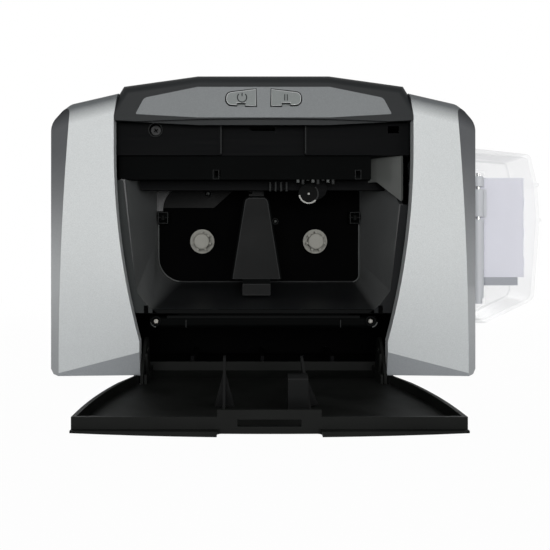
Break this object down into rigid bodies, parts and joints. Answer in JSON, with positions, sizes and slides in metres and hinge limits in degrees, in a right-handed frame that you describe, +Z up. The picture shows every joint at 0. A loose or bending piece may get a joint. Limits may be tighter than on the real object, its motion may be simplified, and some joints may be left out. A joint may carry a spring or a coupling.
{
  "type": "id card printer",
  "caption": "Desktop printer for plastic identity cards with a fold-down front door, ribbon spindles, rollers on gears and a clear side hopper of cards.",
  "frame": {"origin": "middle of the bottom of the box round the whole printer with its door open, on the table", "axes": "+X to the right seen from the front, +Y to the back, +Z up"},
  "size_m": [0.4108, 0.3644, 0.2485],
  "materials": {
    "silver_shell": "satin metallic silver plastic",
    "charcoal_cap": "satin charcoal plastic",
    "inlay_grey": "grey satin panel",
    "button_grey": "grey plastic",
    "black_plastic": "fine black texture",
    "dark_steel": "black coated sheet steel",
    "bright_steel": "bright steel",
    "hub_white": "off-white acetal",
    "gear_white": "white acetal",
    "rubber": "black rubber",
    "board_green": "circuit board",
    "motor_steel": "plated steel can",
    "post_grey": "light grey plastic",
    "clear_cover": "clear plastic",
    "card_white": "white card"
  },
  "bodies": {
    "chassis": {"base_pan": "black_plastic", "side_shell_left": "silver_shell", "side_shell_right": "silver_shell", "rear_cover": "charcoal_cap", "top_cap": "charcoal_cap", "control_inlay": "inlay_grey", "switch_board": "board_green", "bay_liner": "black_plastic", "upper_crossbeam": "dark_steel", "lower_crossbeam": "black_plastic", "beam_screw_left": "bright_steel", "inner_guard": "black_plastic", "front_cross_bar": "black_plastic", "cross_bar_pin_left": "bright_steel", "cross_bar_pin_right": "bright_steel", "drive_plate": "dark_steel", "ribbon_side_plate": "black_plastic", "ribbon_motor": "motor_steel", "card_path_plate": "dark_steel", "feed_motor": "motor_steel", "print_head_tower": "black_plastic", "print_head": "black_plastic", "tower_clip": "black_plastic", "bay_clip_left": "black_plastic", "bay_clip_right": "black_plastic", "main_board": "board_green", "power_jack": "black_plastic", "usb_port": "bright_steel", "hopper_frame": "post_grey", "hopper_hinge_pin": "bright_steel", "hinge_bracket_left": "dark_steel", "door_hinge_pin_left": "bright_steel", "foot_front_left": "rubber", "foot_back_left": "rubber", "hinge_bracket_right": "dark_steel", "door_hinge_pin_right": "bright_steel", "foot_front_right": "rubber", "foot_back_right": "rubber"},
    "front_door": {"front_door": "black_plastic", "door_fin_left": "black_plastic", "door_fin_right": "black_plastic", "door_tab": "black_plastic"},
    "power_button": {"power_button": "button_grey"},
    "pause_button": {"pause_button": "button_grey"},
    "supply": {"supply_spindle": "hub_white", "supply_encoder_disc": "black_plastic"},
    "takeup": {"takeup_spindle": "hub_white", "takeup_gear": "gear_white"},
    "ribbon_drive": {"ribbon_pinion": "gear_white"},
    "platen": {"platen_roller": "rubber", "platen_gear": "gear_white"},
    "feed": {"feed_roller": "rubber", "feed_gear": "gear_white"},
    "feed_drive": {"feed_pinion": "gear_white"},
    "pick": {"pick_roller": "rubber"},
    "hopper_cover": {"hopper_cover": "clear_cover", "cover_knuckle": "post_grey"},
    "card_lift": {"card_lift_tray": "black_plastic", "card_stack": "card_white"}
  },
  "joints": [
    {"name": "door_hinge", "type": "hinge", "parent": "chassis", "child": "front_door", "pos_m": [-0.0329, 0.00394, 0.0267], "axis": [-1, 0, 0], "range_deg": [0, 90]},
    {"name": "power_press", "type": "slide", "parent": "chassis", "child": "power_button", "axis": [0, 1, 0], "range_m": [0, 0.0008], "stiffness_N_per_m": 600},
    {"name": "pause_press", "type": "slide", "parent": "chassis", "child": "pause_button", "axis": [0, 1, 0], "range_m": [0, 0.0008], "stiffness_N_per_m": 600},
    {"name": "supply_spin", "type": "hinge", "parent": "chassis", "child": "supply", "pos_m": [-0.0877, 0.08854, 0.1172], "axis": [0, 1, 0], "continuous": true},
    {"name": "takeup_spin", "type": "hinge", "parent": "chassis", "child": "takeup", "pos_m": [0.0173, 0.08854, 0.1172], "axis": [0, 1, 0], "continuous": true},
    {"name": "ribbon_pinion_spin", "type": "hinge", "parent": "chassis", "child": "ribbon_drive", "pos_m": [0.037, 0.08854, 0.10181], "axis": [0, 1, 0], "continuous": true},
    {"name": "platen_spin", "type": "hinge", "parent": "chassis", "child": "platen", "pos_m": [-0.0384, 0.08854, 0.1793], "axis": [0, 1, 0], "continuous": true},
    {"name": "feed_spin", "type": "hinge", "parent": "chassis", "child": "feed", "pos_m": [0.0001, 0.08854, 0.1778], "axis": [0, 1, 0], "continuous": true},
    {"name": "feed_pinion_spin", "type": "hinge", "parent": "chassis", "child": "feed_drive", "pos_m": [-0.01894, 0.08854, 0.18392], "axis": [0, 1, 0], "continuous": true},
    {"name": "pick_spin", "type": "hinge", "parent": "chassis", "child": "pick", "pos_m": [0.1195, 0.08854, 0.1777], "axis": [0, 1, 0], "continuous": true},
    {"name": "cover_hinge", "type": "hinge", "parent": "chassis", "child": "hopper_cover", "pos_m": [0.1509, 0.02284, 0.1354], "axis": [0, 0, -1], "range_deg": [0, 95]},
    {"name": "card_lift", "type": "slide", "parent": "chassis", "child": "card_lift", "axis": [0, 0, 1], "range_m": [-0.012, 0]}
  ],
  "couplings": [
    {"joint": "ribbon_pinion_spin", "follows": "takeup_spin", "ratio": -2.5714},
    {"joint": "feed_pinion_spin", "follows": "platen_spin", "ratio": -1.5},
    {"joint": "feed_spin", "follows": "platen_spin", "ratio": 1}
  ]
}
